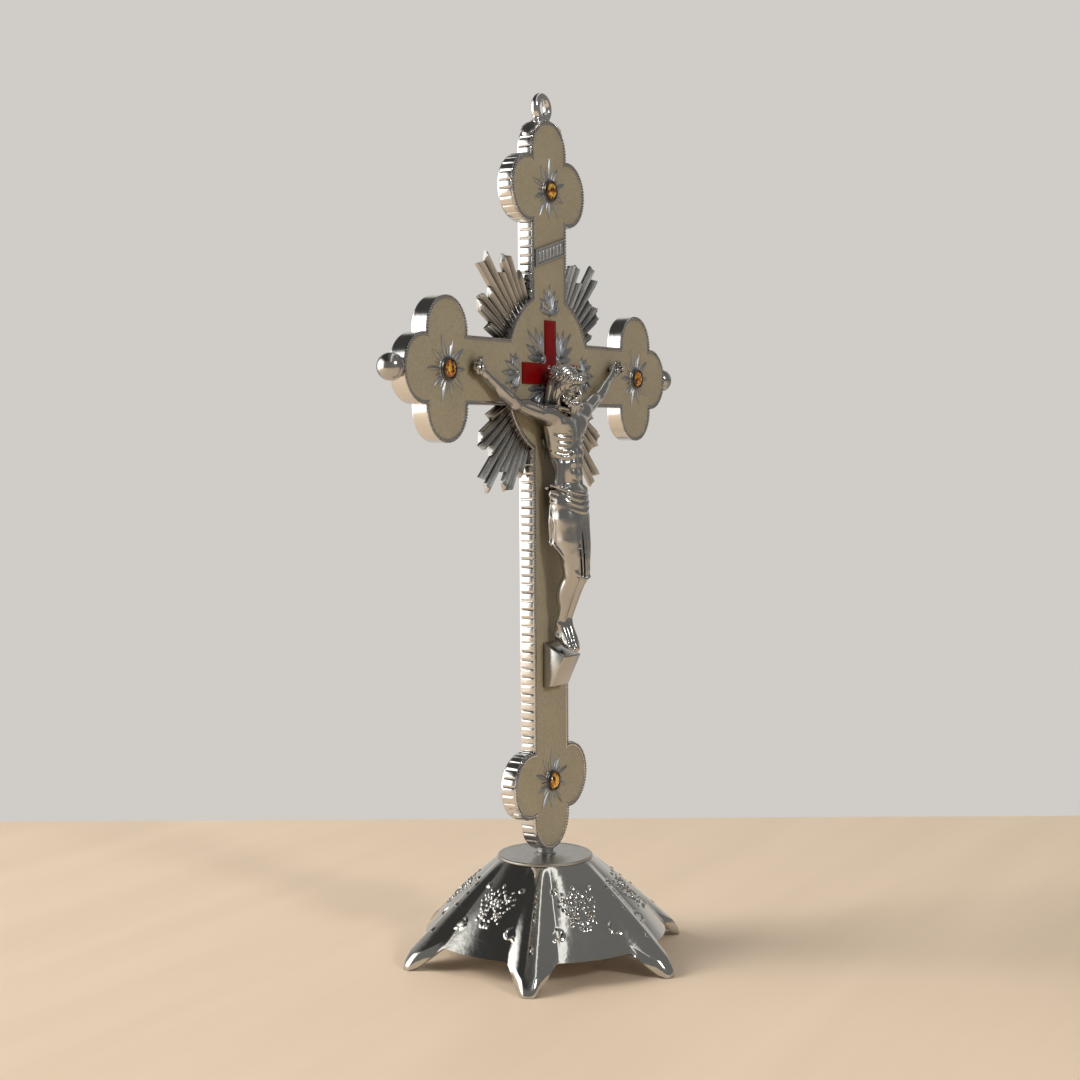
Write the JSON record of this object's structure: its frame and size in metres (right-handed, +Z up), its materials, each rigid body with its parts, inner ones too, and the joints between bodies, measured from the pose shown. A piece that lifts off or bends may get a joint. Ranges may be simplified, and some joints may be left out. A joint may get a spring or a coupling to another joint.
{
  "type": "altar cross",
  "caption": "Standing crucifix: budded cast-metal cross with inlaid face, sunray fans, set stones and figure, on a fluted footed base.",
  "frame": {"origin": "bottom centre of the base, on the surface it stands on", "axes": "+Z up the post, -Y out of the cross's front face, +X to the right as seen from the front"},
  "size_m": [0.1502, 0.084, 0.2394],
  "materials": {
    "frame_chrome": "polished cast plating",
    "face_resin": "satin cream-olive panel",
    "red_enamel": "deep red enamel",
    "antique_silver": "dull stamped silver",
    "ray_metal": "dull cast silver",
    "cup_metal": "darkened bezel",
    "stone_amber": "faceted amber glass",
    "figure_chrome": "polished casting with dark recesses",
    "base_chrome": "bright pressed sheet",
    "fixing_steel": "zinc-plated"
  },
  "bodies": {
    "root": {"cross_frame": "frame_chrome", "face_panel": "face_resin", "red_cross_inlay": "red_enamel", "filigree_ornaments": "antique_silver", "title_plaque": "antique_silver", "ray_fan_upper_left": "ray_metal", "ray_fan_upper_right": "ray_metal", "ray_fan_lower_left": "ray_metal", "ray_fan_lower_right": "ray_metal", "starburst_top": "antique_silver", "starburst_left": "antique_silver", "starburst_right": "antique_silver", "starburst_bottom": "antique_silver", "stone_cup_top": "cup_metal", "stone_cup_left": "cup_metal", "stone_cup_right": "cup_metal", "stone_cup_bottom": "cup_metal", "stone_top": "stone_amber", "stone_left": "stone_amber", "stone_right": "stone_amber", "stone_bottom": "stone_amber", "corpus": "figure_chrome", "hand_pins": "fixing_steel", "foot_pin": "fixing_steel", "foot_block": "figure_chrome", "end_knob_left": "frame_chrome", "end_knob_right": "frame_chrome", "hanging_loop": "frame_chrome", "base_skirt": "base_chrome", "base_cap": "base_chrome", "neck_collar": "fixing_steel", "fixing_stud": "fixing_steel", "fixing_washer": "fixing_steel", "fixing_nut": "fixing_steel"}
  },
  "joints": []
}
